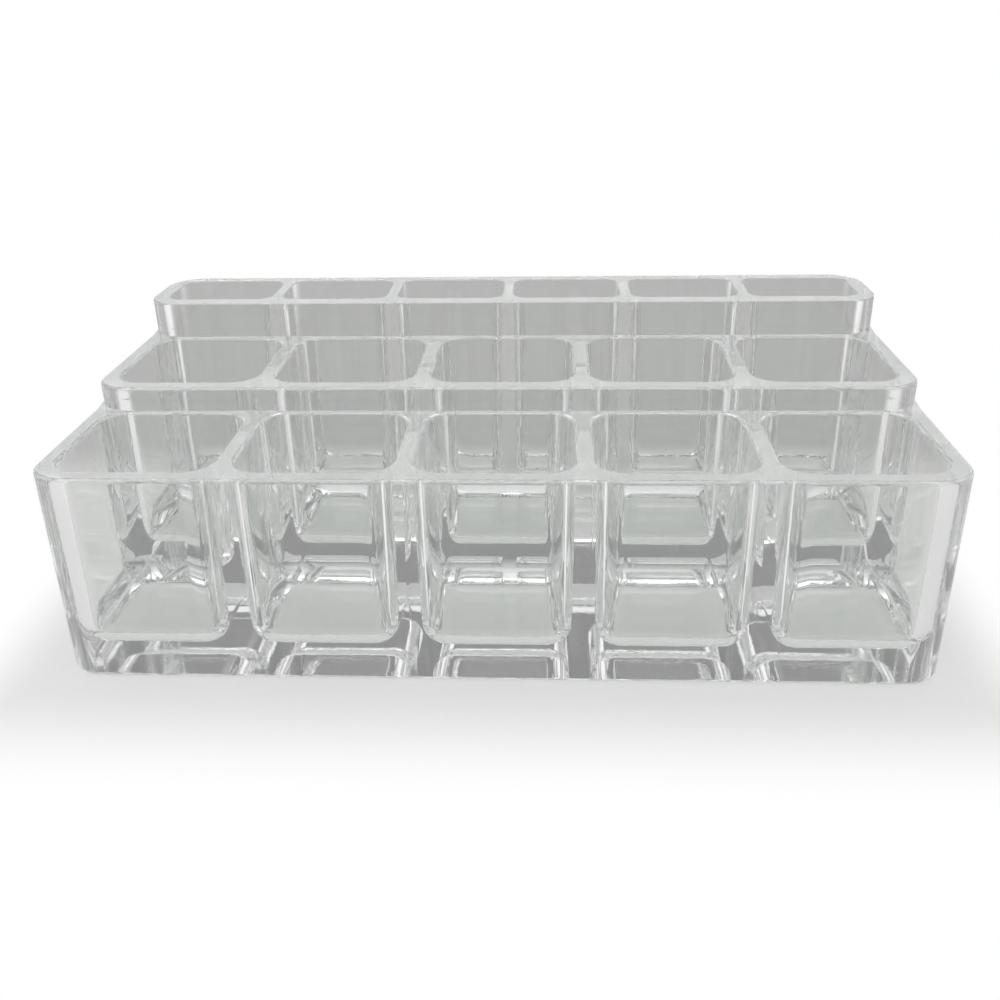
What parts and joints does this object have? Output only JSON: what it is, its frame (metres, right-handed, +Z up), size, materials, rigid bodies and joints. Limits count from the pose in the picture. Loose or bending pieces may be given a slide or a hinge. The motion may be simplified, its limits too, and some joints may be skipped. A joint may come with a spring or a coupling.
{
  "type": "vanity organizer",
  "caption": "Clear stepped countertop organizer: rows of open rounded pockets rise from front to back for standing cosmetics upright.",
  "frame": {"origin": "under the middle of the block, on the face it stands on", "axes": "+Z up, +X to the viewer's right along the long side, front with the lowest row of pockets towards -Y"},
  "size_m": [0.2292, 0.1318, 0.074],
  "materials": {
    "clear_plastic": "clear, colourless, polished"
  },
  "bodies": {
    "root": {"base_plate": "clear_plastic", "left_side_wall": "clear_plastic", "right_side_wall": "clear_plastic", "front_wall": "clear_plastic", "middle_step_wall": "clear_plastic", "back_step_wall": "clear_plastic", "back_wall": "clear_plastic", "front_divider_1": "clear_plastic", "front_divider_2": "clear_plastic", "front_divider_3": "clear_plastic", "front_divider_4": "clear_plastic", "middle_divider_1": "clear_plastic", "middle_divider_2": "clear_plastic", "middle_divider_3": "clear_plastic", "middle_divider_4": "clear_plastic", "back_divider_1": "clear_plastic", "back_divider_2": "clear_plastic", "back_divider_3": "clear_plastic", "back_divider_4": "clear_plastic", "back_divider_5": "clear_plastic"}
  },
  "joints": []
}
